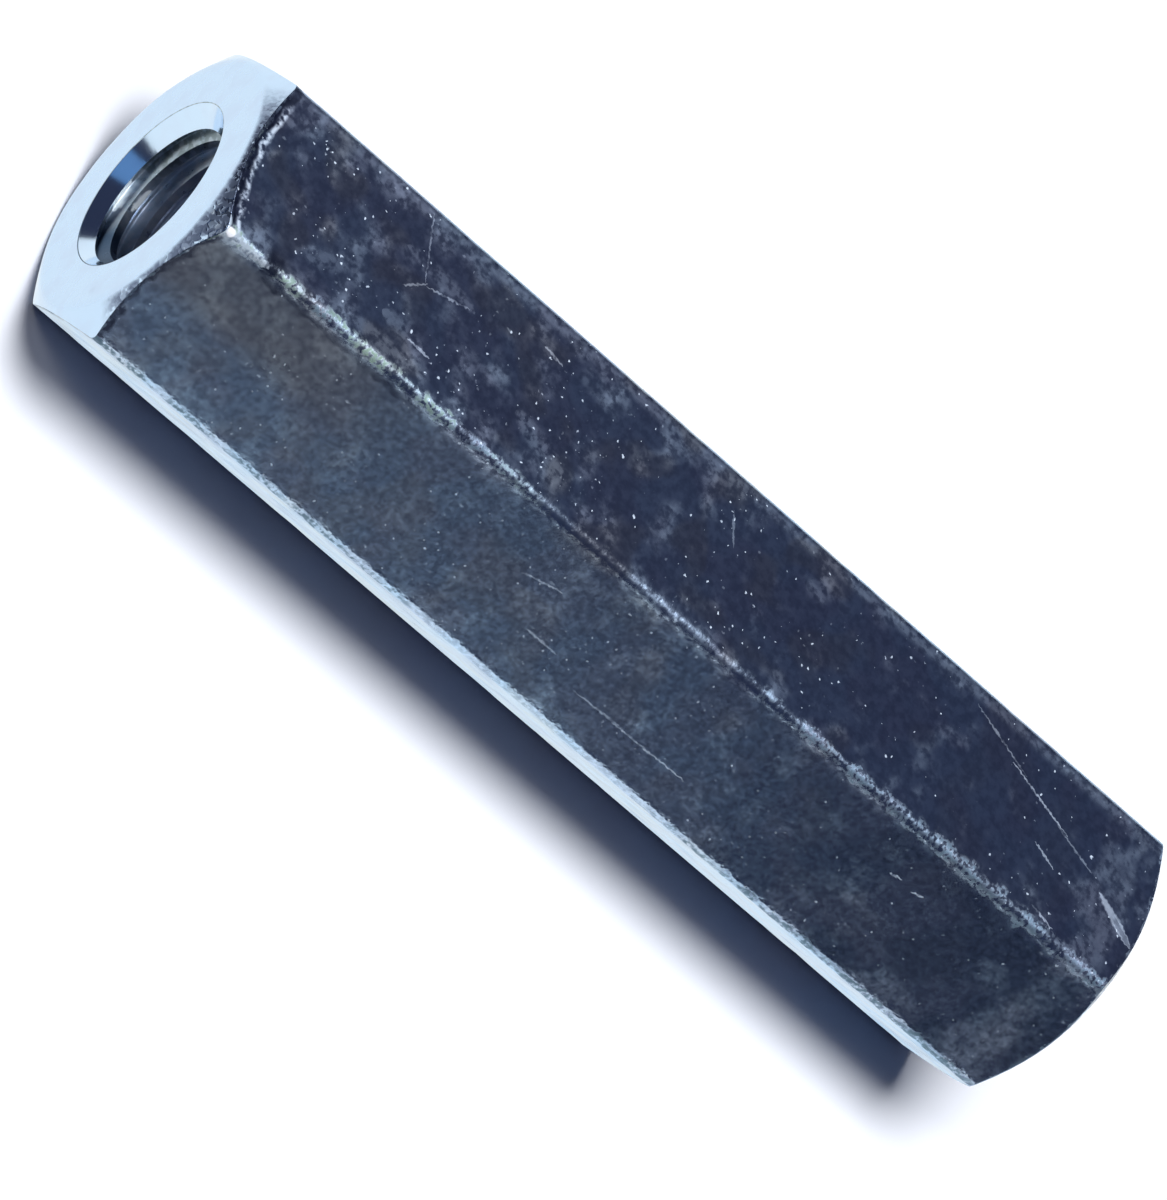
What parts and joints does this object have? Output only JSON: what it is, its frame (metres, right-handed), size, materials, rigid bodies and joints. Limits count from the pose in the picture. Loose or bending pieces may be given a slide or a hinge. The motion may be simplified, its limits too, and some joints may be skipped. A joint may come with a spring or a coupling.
{
  "type": "coupling nut",
  "caption": "Long hexagon nut with a fine threaded bore right through, countersunk mouths and chamfered ends, for joining threaded rods end to end.",
  "frame": {"origin": "centre of the bore, halfway along the nut", "axes": "+X along the bore from end to end, +Z out of the upper hexagon flat, with the nut lying on the opposite flat; +Y towards a hexagon corner"},
  "size_m": [0.0448, 0.0124, 0.011],
  "materials": {
    "zinc_plated_steel": "bright blue-white zinc plate, grainy and lightly scuffed, worn pale along the corners"
  },
  "bodies": {
    "root": {"coupling_nut": "zinc_plated_steel"}
  },
  "joints": []
}
